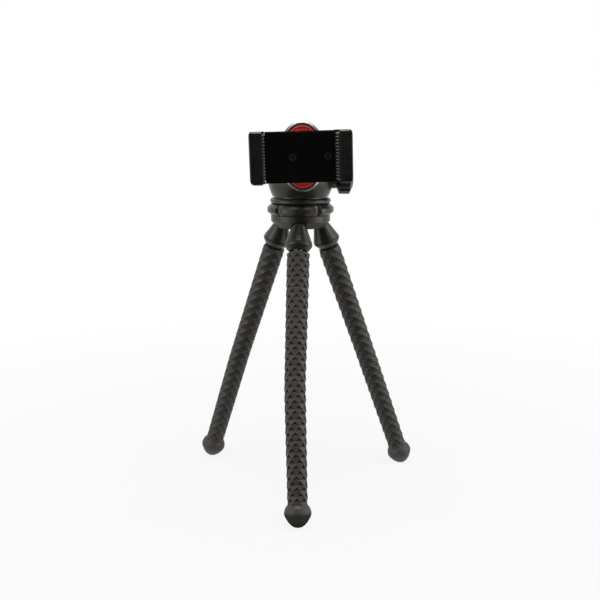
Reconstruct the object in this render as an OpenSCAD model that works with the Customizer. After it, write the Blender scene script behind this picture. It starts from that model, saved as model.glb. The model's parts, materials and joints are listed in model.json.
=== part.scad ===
// Bendable tripod phone holder: three bending legs, a ball head and a sprung phone clamp.
// The head faces -Y. The origin lies on the floor, in the middle of the feet's outer edges.

/* [Legs] */
// Diameter of a leg just under its socket
leg_top_d = 15.8; // [14.4:0.1:17]
// Diameter of a leg where it enters its foot
leg_end_d = 13.4; // [12:0.1:15]
// Length of a leg from its root bend to its middle bend
upper_len = 85.6; // [60:0.2:120]
// Length of a leg from its middle bend to the centre of its foot
lower_len = 84.2; // [60:0.2:120]
// Half the length of the stretch that bends, at the root and in the middle
bend_half = 8; // [7.5:0.1:10]
// Lean of the sockets and the upper halves from upright, in degrees
upper_lean = 21.2; // [18:0.1:28]
// Lean of the lower halves, in degrees
lower_lean = 19.5; // [10:0.1:24]
// Turn of the three legs together, about the middle, in degrees
leg_turn = -6.4; // [-20:0.1:20]
// Swing of each lower half to its side, in degrees
knee_swings = [7.8, 0.8, -13]; // [-20:0.1:20]
// Diameter of the bending metal core in a leg
core_d = 7; // [5:0.2:9]
// Diameter of a rubber foot
foot_d = 18.5; // [17:0.1:22]
// How much of a foot's ball is cut off flat where it stands
foot_cut = 0.9; // [0.3:0.1:1]
// Diameter of the flat end that a foot stands on
foot_tip_d = 4.8; // [3:0.2:6]
// Angle of a foot's tapered end from upright, in degrees
foot_taper = 50; // [45:1:60]
// How far a foot reaches up its leg from its centre
foot_collar = 6.4; // [6.2:0.1:10]

/* [Sockets] */
// Distance from the middle of the base to the top of a leg
leg_circle_r = 23; // [22.8:0.1:28]
// Largest diameter of a socket
socket_d = 19.5; // [18:0.1:21]
// Diameter of a socket's open end
socket_mouth_d = 14.4; // [13:0.1:16]
// Diameter of a socket's neck
socket_neck_d = 10.4; // [9.6:0.1:11]
// Length of a socket's cone
socket_cone = 13.4; // [12:0.1:17]
// Length of a socket's bevel at its open end
socket_bevel = 4.3; // [2:0.1:5]
// Length of the neck that is held in the base
socket_neck = 4.2; // [4:0.1:5]
// Bare gap between a socket and its leg
socket_gap = 0.9; // [0.5:0.1:1.5]

/* [Base] */
// Diameter of the base
base_d = 42.5; // [40:0.5:48]
// Height of the base
base_h = 9; // [8.8:0.1:12]
// Width of the bevel round the bottom of the base
base_bevel_w = 4.4; // [2:0.1:4.6]
// Height of the bevel round the bottom of the base
base_bevel_h = 4.8; // [3:0.1:6]
// Diameter of the post that the ring and the head turn on
post_d = 19; // [17:0.5:20]
// Diameter of the bolt through the post
pan_bolt_d = 8; // [6:0.5:9]

/* [Lock ring] */
// Diameter over the ring's grips
ring_d = 47.6; // [43:0.2:50]
// Height of the ring
ring_h = 7.8; // [6:0.1:10]
// Number of grips round the ring
ring_grips = 5; // [3:1:12]
// Depth of the notches between the grips
ring_notch = 1.9; // [0.8:0.1:2.2]

/* [Ball head] */
// Diameter of the turning plate under the cup
plate_d = 43.4; // [39:0.2:45]
// Thickness of the turning plate
plate_h = 4.3; // [3.6:0.1:6]
// Height of the recess between the plate and the cup
recess_h = 1; // [0.6:0.1:2]
// Diameter of the recess between the plate and the cup
recess_d = 37; // [34:0.5:38]
// Diameter of the cup at its foot
cup_foot_d = 40; // [38:0.5:42]
// Largest diameter of the cup
cup_d = 46.8; // [45:0.2:50]
// Height of the cup
cup_h = 33.8; // [33:0.1:36]
// Height of the cup's curved lower part
cup_curve_h = 14; // [10:0.5:18]
// Radius of the cup's upper edge
cup_edge_r = 3; // [1:0.1:4]
// Diameter of the ball
ball_d = 26; // [24:0.5:27]
// Height of the ball's centre over the cup's foot
ball_up = 28.8; // [28:0.1:30]
// Diameter of the ball's stem
stem_d = 9; // [7:0.1:10]
// Diameter of the cup's mouth
mouth_d = 23.6; // [22:0.1:24]

/* [Lock knob] */
// Diameter of the knob
knob_d = 25; // [22:0.5:27]
// Thickness of the knob
knob_t = 12.6; // [8:0.1:13]
// Height of the knob's axis over the cup's foot
knob_up = 13.9; // [13.4:0.1:14.4]
// Distance from the ball's centre to the end of the boss
boss_reach = 25; // [25:0.1:28]
// Diameter of the boss that carries the knob
boss_d = 17.4; // [15:0.2:20]
// Diameter of the knob's screw
knob_screw_d = 5; // [4:0.1:6]

/* [Platform] */
// Width of the oval platform
oval_w = 33; // [30:0.5:36]
// Height of the oval platform
oval_h = 47.6; // [44:0.2:50]
// Thickness of the platform
oval_t = 5; // [4.6:0.1:6]
// Distance from the ball's centre to the back of the platform
oval_reach = 24.5; // [24.2:0.1:27]
// Width of the platform's bright rim
rim_w = 2; // [1.4:0.1:3]
// Gap between the rim and the pad
rim_gap = 0.7; // [0.4:0.1:1]
// Thickness of the platform's rubber pad
pad_t = 1.5; // [1.2:0.1:1.8]
// How far the pad stands out of the rim
pad_proud = 0.3; // [0.1:0.1:0.6]
// Diameter of the camera screw
camera_screw_d = 6.35; // [6:0.05:6.6]
// Length of the camera screw beyond the pad
camera_screw_len = 5; // [4:0.1:6]

/* [Phone clamp] */
// Lean of the clamp and the platform, in degrees
clamp_lean = 1.6; // [-5:0.1:5]
// Width of the closed clamp
clamp_w = 67.5; // [64:0.5:76]
// Height of the jaws
jaw_h = 34.5; // [33.6:0.1:38]
// Height of the clamp's body between the jaws
body_h = 34; // [32:0.1:34.4]
// Thickness of the clamp's body behind the front plate
body_t = 10; // [9.6:0.1:12]
// Thickness of the front plate
front_t = 2; // [1.6:0.1:2.4]
// Place of the clamp's middle beside the camera screw
clamp_shift = -2; // [-3:0.1:0]
// Width of each jaw's block
jaw_w = 10.2; // [9.6:0.1:12]
// Depth of the space for the phone
phone_t = 11; // [8:0.5:14]
// Thickness of the jaws' front lips
lip_t = 2.5; // [2:0.1:4]
// How far the lips reach in over the phone
lip_w = 8.4; // [7:0.1:9]
// Thickness of the jaws' side walls
wall_t = 5.2; // [3:0.1:6]
// Thickness of the rubber grips in the jaws
grip_t = 5; // [3.2:0.1:6]
// Pitch of the grips' ribs
rib_pitch = 2.1; // [1.6:0.1:3]
// Depth of the grips' ribs
rib_depth = 0.9; // [0.5:0.1:1.2]
// How far the sprung jaw slides out
jaw_travel = 34; // [20:1:34]
// Diameter of the two guide rods
rod_d = 3.2; // [2.4:0.1:3.4]
// Outer diameter of the two pull springs
spring_d = 4; // [3.2:0.1:4.2]

/* [Hidden] */

$fn = 72;
// Overrun of a cut beyond the face that it opens
over = 1;
// Clearance between parts of one body, and of a turning or sliding fit
fit = 0.05;
// Clearance between faces that move past each other
gap = 0.1;
// Clearance between the jaws' blocks and the body at the closed stop
stop_gap = 0.2;
// Thickness of casing walls that show no thickness of their own
skin = 2;
// Width of small edge bevels
edge = 0.6;

plastic = "dimgray";
black = [0.05, 0.05, 0.06];
rubber = [0.22, 0.22, 0.22];
steel = "silver";

// Directions of the three legs: to the front, to the left and to the right
azimuths = [-90 + leg_turn, 150 + leg_turn, 30 + leg_turn];

leg_top_r = leg_top_d / 2;
leg_end_r = leg_end_d / 2;
knee_r = (leg_top_r + leg_end_r) / 2;
core_r = core_d / 2;
foot_r = foot_d / 2;

// Heights of the foot, the middle bend, the root bend and the top of a leg
foot_z = foot_r - foot_cut;
// Share of the collar's height at the corner of the foot's flare
foot_flare_share = 0.6;
knee_z = foot_z + lower_len * cos(lower_lean);
root_z = knee_z + upper_len * cos(upper_lean);
top_z = root_z + bend_half * cos(upper_lean);
root_dist = leg_circle_r + bend_half * sin(upper_lean);
// Angle under which a middle bend is drawn straight, in degrees
least_bend = 0.2;

// Direction down a leg, from its lean and its azimuth
function down(lean, az) = [sin(lean) * cos(az), sin(lean) * sin(az), -cos(lean)];

// Directions and places on leg i, from the middle of the base on the floor
function upper_dir(i) = down(upper_lean, azimuths[i]);
function lower_dir(i) = down(lower_lean, azimuths[i] + knee_swings[i]);
function root_at(i) = [root_dist * cos(azimuths[i]), root_dist * sin(azimuths[i]), root_z];
function knee_at(i) = root_at(i) + upper_len * upper_dir(i);
function foot_at(i) = knee_at(i) + lower_len * lower_dir(i);

// Place of the middle of the base, which keeps the origin in the middle of the feet
feet_at = [for (i = [0:2]) foot_at(i)];
hub_x = -(max([for (f = feet_at) f[0]]) + min([for (f = feet_at) f[0]])) / 2;
hub_y = -(max([for (f = feet_at) f[1]]) + min([for (f = feet_at) f[1]])) / 2;

// Distances along a socket's axis, counted up from the top of its leg
socket_end = socket_gap;
socket_wide = socket_end + socket_bevel;
socket_top = socket_wide + socket_cone;
neck_top = socket_top + socket_neck;
neck_r = socket_neck_d / 2;
core_in = neck_top - skin;

// Depth that a socket's cone is let into the base
socket_sink = 2;
base_z = top_z + socket_top * cos(upper_lean) - socket_sink;
base_r = base_d / 2;
base_top = base_z + base_h;
post_r = post_d / 2;
bolt_r = pan_bolt_d / 2;
bolt_head_r = bolt_r + 2 * edge;
bolt_head_h = skin + edge;
cap_r = bolt_head_r + edge;
cap_h = 1.6;
screw_r = 1.25;
screw_head_r = 2.3;
screw_head_h = 1.5;
screw_bite = 4;

ring_z = base_top + gap;
ring_top = ring_z + ring_h;
ring_r = ring_d / 2;
ring_bevel_h = 2.4;
ring_bevel_w = 2.7;
notch_width_share = 0.24;
// Turn of the ring's first notch, and turns of the screws under the cup, in degrees
notch_turn = 11;
housing_screw_turns = [60, 180, 300];
post_top = ring_top + gap;

plate_z = post_top;
plate_r = plate_d / 2;
plate_top = plate_z + plate_h;
cup_z = plate_top + recess_h;
recess_r = recess_d / 2;
housing_screw_r = recess_r - screw_head_r - edge;
nut_r = 6.4;
nut_h = 3.4;
nut_z = cup_z - skin + gap;

cup_r = cup_d / 2;
cup_foot_r = cup_foot_d / 2;
ball_r = ball_d / 2;
ball_z = cup_z + ball_up;
chamber_r = ball_r + fit;
stem_r = stem_d / 2;
slot_r = stem_r + 4 * gap;
mouth_r = mouth_d / 2;
spacer_h = 4.4;
seat_z = cup_z + spacer_h;
seat_h = 15;

knob_z = cup_z + knob_up;
knob_r = knob_d / 2;
knob_x = boss_reach + 3 * gap;
knob_bevel_w = 2.3;
knob_bevel_h = 4.8;
knob_grips = 12;
grip_cut_r = 2.6;
grip_cut_depth = 0.7;
boss_r = boss_d / 2;
knob_screw_r = knob_screw_d / 2;
shoe_r = 4.5;
shoe_in = 7;
shoe_out = 8.6;
knob_cap_r = 6.4;
knob_cap_t = 1;

// Distances in front of the ball's centre
oval_front = oval_reach + oval_t;
pad_front = oval_front + pad_proud;
pad_back = pad_front - pad_t;
pin_r = stem_r - 2 * edge - 3 * gap;
pin_end = oval_reach + skin;
flange_r = 5.2;
flange_t = 1.4;
flange_back = pin_end + gap;
camera_r = camera_screw_d / 2;

back_z = pad_front;
tray_z = back_z + skin;
front_z = back_z + body_t;
seat_face = front_z + front_t;
lip_back = seat_face + phone_t;
jaw_front = lip_back + lip_t;

// Places across the clamp, from its own middle
half_w = clamp_w / 2;
fixed_in = half_w - jaw_w;
moving_in = -fixed_in;
body_left = moving_in + stop_gap;
cavity_h = body_h - 2 * skin;
cavity_right = fixed_in - skin;
rod_r = rod_d / 2;
spring_r = spring_d / 2;
rod_up = cavity_h / 2 - rod_r - edge - gap;
spring_up = rod_up - rod_r - spring_r - edge;
rail_z = tray_z + spring_r + edge;
rod_bite = 6;
rod_end = cavity_right - 3 * skin;
guide_w = 6;
guide_h = cavity_h - 2 * gap;
slide_t = 2.9;
slide_z = front_z - slide_t - gap;
slide_h = cavity_h - 4 * gap;
slide_end = cavity_right - 2 * skin;
guide_t = slide_z - tray_z - 2 * gap;
insert_r = 4.2;
insert_t = 5.8;
insert_boss_r = insert_r + edge;
front_screw_shares = [-0.151, 0.545];
front_screw_xs = [for (share = front_screw_shares) share * half_w];
front_screw_r = 2.6;
front_boss_r = 2.6;
slot_h = 2 * (front_boss_r + edge);
slot_left = front_screw_xs[0] - front_boss_r - edge;
front_recess_r = 3;
front_recess_t = 1;

// A polygon's points from an arc about c, from angle a to b
function arc(c, r, a, b, n) = [
    for (k = [0:n]) let (t = a + (b - a) * k / n) c + r * [cos(t), sin(t)]
];

// A solid of revolution from its outline of distance and height
module turned(points) {
    rotate_extrude($fn = 96) polygon(points);
}

// Puts parts drawn about the middle of the base in their place
module at_hub(z = 0) {
    translate([hub_x, hub_y, z]) children();
}

// Puts parts on the axis of socket i, with up the axis as +Z and the top of the leg as the origin
module at_socket(i) {
    at_hub() rotate([0, 0, azimuths[i]]) translate([leg_circle_r, 0, top_z])
        rotate([0, -upper_lean, 0]) children();
}

// Puts parts on the upper half of leg i, with down the leg as +Z and the root bend as the origin
module at_upper(i) {
    at_hub() translate(root_at(i)) rotate([0, 180 - upper_lean, azimuths[i]]) children();
}

// Puts parts on the lower half of leg i, with down the leg as +Z and the middle bend as the origin
module at_lower(i) {
    at_hub() translate(knee_at(i)) rotate([0, 180 - lower_lean, azimuths[i] + knee_swings[i]]) children();
}

// Puts parts before the ball's centre, with right as +X, up as +Y and the front as +Z
module at_ball() {
    at_hub(ball_z) rotate([90, 0, 0]) children();
}

// Puts parts on the leaning platform
module at_platform() {
    at_ball() rotate([0, 0, clamp_lean]) children();
}

// Puts parts in the leaning clamp, from the clamp's own middle
module at_clamp() {
    at_platform() translate([clamp_shift, 0, 0]) children();
}

// An upright ellipse
module ellipse(w, h) {
    polygon([for (k = [1:96]) [w / 2 * cos(k * 360 / 96), h / 2 * sin(k * 360 / 96)]]);
}

// A block from one corner to another
module block(low, high) {
    translate(low) cube(high - low);
}

// The outside of a socket, grown by g all round
module socket_form(g) {
    r = socket_d / 2 + g;
    turned([
        [0, socket_end - g], [socket_mouth_d / 2 + g, socket_end - g],
        [r, socket_wide - edge], [r, socket_wide + edge],
        [neck_r + g, socket_top + g], [neck_r + g, neck_top + g], [0, neck_top + g]
    ]);
}

module hub_base() {
    color(plastic) difference() {
        at_hub() turned([
            [0, base_z], [base_r - base_bevel_w, base_z], [base_r, base_z + base_bevel_h],
            [base_r, base_top], [post_r, base_top], [post_r, post_top], [0, post_top]
        ]);
        at_hub(base_z - over) {
            cylinder(r = bolt_r + fit, h = post_top - base_z + 2 * over);
            cylinder(r = bolt_head_r + fit, h = bolt_head_h + cap_h + over);
            cylinder(r = cap_r + fit, h = cap_h + over);
        }
        for (i = [0:2]) at_socket(i) {
            socket_form(fit);
            translate([0, 0, neck_top - over]) cylinder(r = screw_r + fit, h = base_h);
            translate([0, 0, neck_top + fit + edge]) cylinder(r = screw_head_r + fit, h = base_h);
        }
    }
}

module hub_cap() {
    color(plastic) at_hub(base_z) cylinder(r = cap_r, h = cap_h);
}

module pan_bolt() {
    color(steel) at_hub(base_z + cap_h) {
        cylinder(r = bolt_head_r, h = bolt_head_h);
        cylinder(r = bolt_r, h = nut_z + nut_h - base_z - cap_h);
    }
}

module pan_nut() {
    color(steel) at_hub(nut_z) difference() {
        cylinder(r = nut_r, h = nut_h, $fn = 6);
        translate([0, 0, -over]) cylinder(r = bolt_r + fit, h = nut_h + 2 * over);
    }
}

module socket_screws() {
    color(steel) for (i = [0:2]) at_socket(i) translate([0, 0, neck_top + fit + edge]) {
        cylinder(r = screw_head_r, h = screw_head_h);
        translate([0, 0, -screw_bite]) cylinder(r = screw_r, h = screw_bite + edge);
    }
}

module socket(i) {
    color(plastic) at_socket(i) difference() {
        socket_form(0);
        translate([0, 0, socket_end - over]) cylinder(r = core_r + fit, h = core_in - socket_end + over);
        translate([0, 0, core_in]) cylinder(r = screw_r + fit, h = socket_neck);
        translate([0, 0, socket_wide + edge]) difference() {
            cylinder(r = socket_d, h = edge / 2);
            cylinder(r = socket_d / 2 - edge, h = edge / 2);
        }
    }
}

module core_root(i) {
    color(steel) at_socket(i) translate([0, 0, core_r + gap - bend_half])
        cylinder(r = core_r, h = core_in - screw_bite + bend_half - core_r - gap);
}

module lock_ring() {
    notch_r = notch_width_share * ring_r * sin(180 / ring_grips);
    color(plastic) at_hub(ring_z) difference() {
        turned([
            [post_r + fit, 0], [ring_r - ring_bevel_w, 0], [ring_r, ring_bevel_h],
            [ring_r, ring_h - ring_bevel_h], [ring_r - ring_bevel_w, ring_h], [post_r + fit, ring_h]
        ]);
        for (k = [0:ring_grips - 1]) rotate([0, 0, notch_turn + k * 360 / ring_grips])
            translate([ring_r + notch_r - ring_notch, 0, -over]) cylinder(r = notch_r, h = ring_h + 2 * over);
    }
}

module pan_plate() {
    mid = plate_h / 2;
    color(plastic) at_hub(plate_z) difference() {
        turned(concat(
            [[0, 0]],
            arc([plate_r - mid, mid], mid, -90, 90, 12),
            [[recess_r, plate_h], [recess_r, plate_h + recess_h], [0, plate_h + recess_h]]
        ));
        translate([0, 0, -over]) cylinder(r = bolt_r + fit, h = plate_h + recess_h + 2 * over);
        translate([0, 0, nut_z - plate_z - gap]) cylinder(r = nut_r + gap, h = plate_h);
        for (turn = housing_screw_turns) rotate([0, 0, turn]) translate([housing_screw_r, 0, 0]) {
            translate([0, 0, -over]) cylinder(r = screw_r + fit, h = plate_h + recess_h + 2 * over);
            translate([0, 0, -over]) cylinder(r = screw_head_r + fit, h = screw_head_h + gap + over);
        }
    }
}

module housing_screws() {
    color(steel) at_hub(plate_z + gap) for (turn = housing_screw_turns) rotate([0, 0, turn])
        translate([housing_screw_r, 0, 0]) {
            cylinder(r = screw_head_r, h = screw_head_h);
            cylinder(r = screw_r, h = plate_h + recess_h + screw_bite);
        }
}

module ball_housing() {
    // Radius of the arc that bows the cup's lower part out from its foot
    bow = (pow(cup_r - cup_foot_r, 2) + pow(cup_curve_h, 2)) / (2 * (cup_r - cup_foot_r));
    bow_angle = asin(cup_curve_h / bow);
    lip_up = cup_h - ball_up;
    color(plastic) difference() {
        union() {
            at_hub(cup_z) turned(concat(
                [[0, 0]],
                arc([cup_r - bow, cup_curve_h], bow, -bow_angle, 0, 8),
                arc([cup_r - cup_edge_r, cup_h - cup_edge_r], cup_edge_r, 0, 90, 8),
                [[0, cup_h]]
            ));
            at_hub(knob_z) rotate([0, 90, 0]) cylinder(r = boss_r, h = boss_reach);
        }
        at_hub(cup_z - over) cylinder(r = chamber_r, h = ball_up + over);
        at_hub(ball_z) sphere(r = chamber_r);
        at_hub(ball_z) cylinder(r = mouth_r, h = lip_up + over);
        at_hub(ball_z) rotate([90, 0, 0]) cylinder(r = slot_r, h = cup_d);
        at_hub(ball_z) block([-slot_r, -cup_d, 0], [slot_r, 0, cup_h]);
        at_hub(knob_z) rotate([0, 90, 0]) cylinder(r = knob_screw_r + fit, h = boss_reach + over);
        at_hub(cup_z - over) for (turn = housing_screw_turns) rotate([0, 0, turn])
            translate([housing_screw_r, 0, 0]) cylinder(r = screw_r + fit, h = screw_bite + 2 * gap + over);
    }
}

module seat_spacer() {
    color(steel) at_hub(cup_z) difference() {
        cylinder(r = ball_r - gap, h = spacer_h);
        translate([0, 0, -over]) cylinder(r = nut_r + skin / 2, h = spacer_h + 2 * over);
    }
}

module ball_seat() {
    color("white") difference() {
        at_hub(seat_z) cylinder(r = ball_r - gap, h = seat_h);
        at_hub(ball_z) sphere(r = chamber_r);
        at_hub(knob_z) translate([-shoe_in - gap, 0, 0]) rotate([0, 90, 0])
            cylinder(r = shoe_r + fit, h = shoe_in + ball_d);
    }
}

module brake_shoe() {
    color("goldenrod") difference() {
        at_hub(knob_z) translate([-shoe_in, 0, 0]) rotate([0, 90, 0])
            cylinder(r = shoe_r, h = shoe_in + shoe_out);
        at_hub(ball_z) sphere(r = chamber_r);
    }
}

module knob_screw() {
    color(steel) at_hub(knob_z) translate([shoe_out + gap, 0, 0]) rotate([0, 90, 0])
        cylinder(r = knob_screw_r, h = knob_x + knob_t - knob_cap_t - gap - shoe_out - gap);
}

module lock_knob() {
    face_r = knob_r - knob_bevel_h;
    color(black) at_hub(knob_z) translate([knob_x, 0, 0]) rotate([0, 90, 0]) difference() {
        turned([
            [knob_screw_r + fit, 0], [face_r, 0], [knob_r, knob_bevel_w],
            [knob_r, knob_t - knob_bevel_w], [face_r, knob_t], [knob_screw_r + fit, knob_t]
        ]);
        translate([0, 0, knob_t - knob_cap_t]) cylinder(r = knob_cap_r + fit, h = knob_cap_t + over);
        for (k = [0:knob_grips - 1]) rotate([0, 0, (k + 0.5) * 360 / knob_grips])
            translate([knob_r + grip_cut_r - grip_cut_depth, 0, -over])
                cylinder(r = grip_cut_r, h = knob_t + 2 * over);
    }
}

module knob_cap() {
    color(black) at_hub(knob_z) translate([knob_x + knob_t - knob_cap_t, 0, 0]) rotate([0, 90, 0])
        cylinder(r = knob_cap_r, h = knob_cap_t);
}

module ball_stem() {
    color(steel) at_ball() {
        sphere(r = ball_r);
        cylinder(r = stem_r, h = oval_reach - gap);
        cylinder(r = pin_r, h = pin_end - gap);
    }
}

module platform_rim() {
    color(steel) at_platform() difference() {
        union() {
            translate([0, 0, oval_reach]) linear_extrude(edge) ellipse(oval_w - 2 * edge, oval_h - 2 * edge);
            translate([0, 0, oval_reach + edge]) linear_extrude(oval_t - 2 * edge) ellipse(oval_w, oval_h);
            translate([0, 0, oval_front - edge]) linear_extrude(edge) ellipse(oval_w - edge, oval_h - edge);
        }
        translate([0, 0, pad_back]) linear_extrude(oval_t) ellipse(oval_w - 2 * rim_w, oval_h - 2 * rim_w);
        translate([0, 0, oval_reach - over]) cylinder(r = pin_r + fit, h = oval_t + over);
        translate([0, 0, flange_back]) cylinder(r = flange_r + fit, h = oval_t);
    }
}

module platform_pad() {
    inset = 2 * (rim_w + rim_gap);
    color("firebrick") at_platform() difference() {
        translate([0, 0, pad_back]) linear_extrude(pad_t) ellipse(oval_w - inset, oval_h - inset);
        translate([0, 0, pad_back - over]) cylinder(r = camera_r + 4 * gap, h = pad_t + 2 * over);
    }
}

module camera_screw() {
    color(steel) at_platform() {
        translate([0, 0, flange_back]) cylinder(r = flange_r, h = flange_t);
        translate([0, 0, flange_back]) cylinder(r = camera_r, h = pad_front + camera_screw_len - flange_back);
    }
}

module clamp_back() {
    color(black) difference() {
        union() {
            at_clamp() difference() {
                block([body_left, -body_h / 2, back_z], [fixed_in, body_h / 2, front_z]);
                block([body_left - over, -cavity_h / 2, tray_z],
                    [cavity_right, cavity_h / 2, front_z + over]);
            }
            at_platform() translate([0, 0, back_z]) cylinder(r = insert_boss_r, h = insert_t + edge);
            at_clamp() for (x = front_screw_xs) translate([x, 0, back_z])
                cylinder(r = front_boss_r, h = body_t);
        }
        at_platform() translate([0, 0, back_z - over]) cylinder(r = insert_r + fit, h = insert_t + over);
        at_clamp() for (x = front_screw_xs) translate([x, 0, front_z - screw_bite])
            cylinder(r = screw_r + fit, h = screw_bite + over);
    }
}

module clamp_insert() {
    color("goldenrod") at_platform() translate([0, 0, back_z]) difference() {
        cylinder(r = insert_r, h = insert_t);
        translate([0, 0, -over]) cylinder(r = camera_r + fit, h = insert_t + 2 * over);
    }
}

module clamp_front() {
    color(black) at_clamp() difference() {
        union() {
            block([body_left, -body_h / 2, front_z], [fixed_in, body_h / 2, seat_face - edge]);
            block([body_left, edge - body_h / 2, front_z], [fixed_in, body_h / 2 - edge, seat_face]);
        }
        for (x = front_screw_xs) {
            translate([x, 0, seat_face - front_recess_t])
                cylinder(r = front_recess_r, h = front_recess_t + over);
            translate([x, 0, front_z - over]) cylinder(r = screw_r + fit, h = front_t + 2 * over);
        }
    }
}

module clamp_screws() {
    color(steel) at_clamp() for (x = front_screw_xs) difference() {
        union() {
            translate([x, 0, seat_face - front_recess_t])
                cylinder(r = front_screw_r, h = front_recess_t - 2 * gap);
            translate([x, 0, front_z - screw_bite + gap])
                cylinder(r = screw_r, h = screw_bite + front_t - front_recess_t);
        }
        for (a = [0, 90]) translate([x, 0, seat_face - front_recess_t / 2]) rotate([0, 0, a])
            translate([-screw_r, -gap, -gap]) cube([2 * screw_r, 2 * gap, front_recess_t]);
    }
}

module rod_guide() {
    color("white") at_clamp() difference() {
        block([body_left, -guide_h / 2, tray_z], [body_left + guide_w, guide_h / 2, tray_z + guide_t]);
        for (s = [-1, 1]) translate([body_left - over, 0, rail_z]) rotate([0, 90, 0]) {
            translate([0, s * rod_up, 0]) cylinder(r = rod_r + fit, h = guide_w + 2 * over);
            translate([0, s * spring_up, 0]) cylinder(r = spring_r + gap, h = guide_w + 2 * over);
        }
    }
}

// One jaw, drawn for the right side
module jaw_form() {
    block([fixed_in, -jaw_h / 2, back_z], [half_w - edge, jaw_h / 2, seat_face]);
    block([fixed_in, edge - jaw_h / 2, back_z], [half_w, jaw_h / 2 - edge, seat_face]);
    block([half_w - wall_t, edge - jaw_h / 2, back_z], [half_w, jaw_h / 2 - edge, jaw_front - edge]);
    block([half_w - wall_t, -jaw_h / 2, back_z], [half_w - edge, jaw_h / 2, jaw_front - edge]);
    block([half_w - lip_w, -jaw_h / 2, lip_back], [half_w - edge, jaw_h / 2, jaw_front - edge]);
    block([half_w - lip_w, edge - jaw_h / 2, lip_back], [half_w, jaw_h / 2 - edge, jaw_front - edge]);
    block([half_w - lip_w, edge - jaw_h / 2, lip_back], [half_w - edge, jaw_h / 2 - edge, jaw_front]);
}

// One ribbed rubber grip, drawn for the right side
module grip_form() {
    ribs = floor((jaw_h - 2 * edge) / rib_pitch);
    low = -ribs * rib_pitch / 2;
    outer = half_w - wall_t;
    root = outer - grip_t + rib_depth;
    translate([0, 0, seat_face]) linear_extrude(phone_t) polygon(concat(
        [[outer, low], [root, low]],
        [for (k = [0:ribs - 1]) each [
            [root - rib_depth, low + (k + 0.5) * rib_pitch], [root, low + (k + 1) * rib_pitch]
        ]],
        [[outer, -low]]
    ));
}

module fixed_jaw() {
    color(black) at_clamp() jaw_form();
}

module fixed_grip() {
    color(rubber) at_clamp() grip_form();
}

module moving_jaw() {
    color(black) at_clamp() difference() {
        mirror([1, 0, 0]) jaw_form();
        for (s = [-1, 1]) translate([moving_in - rod_bite, s * rod_up, rail_z]) rotate([0, 90, 0])
            cylinder(r = rod_r + fit, h = rod_bite + over);
        block([moving_in - skin, -slide_h / 2 - gap, slide_z - gap],
            [moving_in + over, slide_h / 2 + gap, front_z]);
    }
}

module moving_grip() {
    color(rubber) at_clamp() mirror([1, 0, 0]) grip_form();
}

module jaw_slide() {
    color(black) at_clamp() difference() {
        block([moving_in - skin + gap, -slide_h / 2, slide_z], [slide_end, slide_h / 2, slide_z + slide_t]);
        block([slot_left, -slot_h / 2, slide_z - over], [slide_end + over, slot_h / 2, front_z]);
    }
}

module guide_rods() {
    color(steel) at_clamp() for (s = [-1, 1]) translate([moving_in - rod_bite + gap, s * rod_up, rail_z])
        rotate([0, 90, 0]) cylinder(r = rod_r, h = rod_end - moving_in + rod_bite);
}

module pull_springs() {
    color(steel) at_clamp() for (s = [-1, 1]) translate([moving_in, s * spring_up, rail_z]) rotate([0, 90, 0])
        difference() {
            cylinder(r = spring_r, h = cavity_right - moving_in);
            translate([0, 0, -over]) cylinder(r = spring_r - edge, h = cavity_right - moving_in + 2 * over);
        }
}

// The section of the soft sleeve, with room for the core
module soft_ring(r, room) {
    difference() {
        circle(r);
        circle(core_r + room);
    }
}

// The soft stretch of sleeve round the root bend of leg i
module bend_root(i) {
    color(rubber) at_upper(i) translate([0, 0, gap - bend_half])
        linear_extrude(2 * (bend_half - gap)) soft_ring(leg_top_r, fit);
}

// The soft stretch of sleeve round the middle bend of leg i, as an arc between the two halves
module bend_knee(i) {
    a = upper_dir(i);
    b = lower_dir(i);
    reach = bend_half - gap;
    angle = acos(min(1, a * b));
    color(rubber) at_hub() if (angle < least_bend) {
        translate(knee_at(i) - reach * a) rotate([0, 180 - upper_lean, azimuths[i]])
            linear_extrude(2 * reach) soft_ring(knee_r, 2 * gap);
    } else {
        bow = reach / tan(angle / 2);
        sag = bow / cos(angle / 2) - bow;
        m = (b - cos(angle) * a) / sin(angle);
        n = cross(a, m);
        c = knee_at(i) - reach * a + bow * m;
        multmatrix([[-m[0], a[0], n[0], c[0]], [-m[1], a[1], n[1], c[1]], [-m[2], a[2], n[2], c[2]]])
            rotate_extrude(angle = angle, $fn = 360) translate([bow, 0]) soft_ring(knee_r, sag + 2 * gap);
    }
}

// A straight stretch of sleeve, from one distance down the leg to another
module sleeve(from, to, r1, r2) {
    difference() {
        translate([0, 0, from]) cylinder(r1 = r1, r2 = r2, h = to - from);
        translate([0, 0, from - over]) cylinder(r = core_r + fit, h = to - from + 2 * over);
    }
}

module core_upper(i) {
    color(steel) at_upper(i) {
        sphere(r = core_r);
        cylinder(r = core_r, h = upper_len - core_r - gap);
    }
}

module sleeve_upper(i) {
    color(rubber) at_upper(i) sleeve(bend_half, upper_len - bend_half, leg_top_r, knee_r);
}

module core_lower(i) {
    color(steel) at_lower(i) {
        sphere(r = core_r);
        cylinder(r = core_r, h = lower_len);
    }
}

module sleeve_lower(i) {
    color(rubber) at_lower(i) sleeve(bend_half, lower_len - foot_cut, knee_r, leg_end_r);
}

// A foot's ball, with its poles upright so that the floor cuts it squarely, tapered below
module foot_ball() {
    deep = foot_z + over;
    slope = tan(foot_taper);
    intersection() {
        sphere(r = foot_r);
        translate([0, 0, -deep])
            cylinder(
                r1 = foot_tip_d / 2 - over * slope, r2 = foot_tip_d / 2 + 2 * deep * slope,
                h = over + 2 * deep
            );
    }
}

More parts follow.
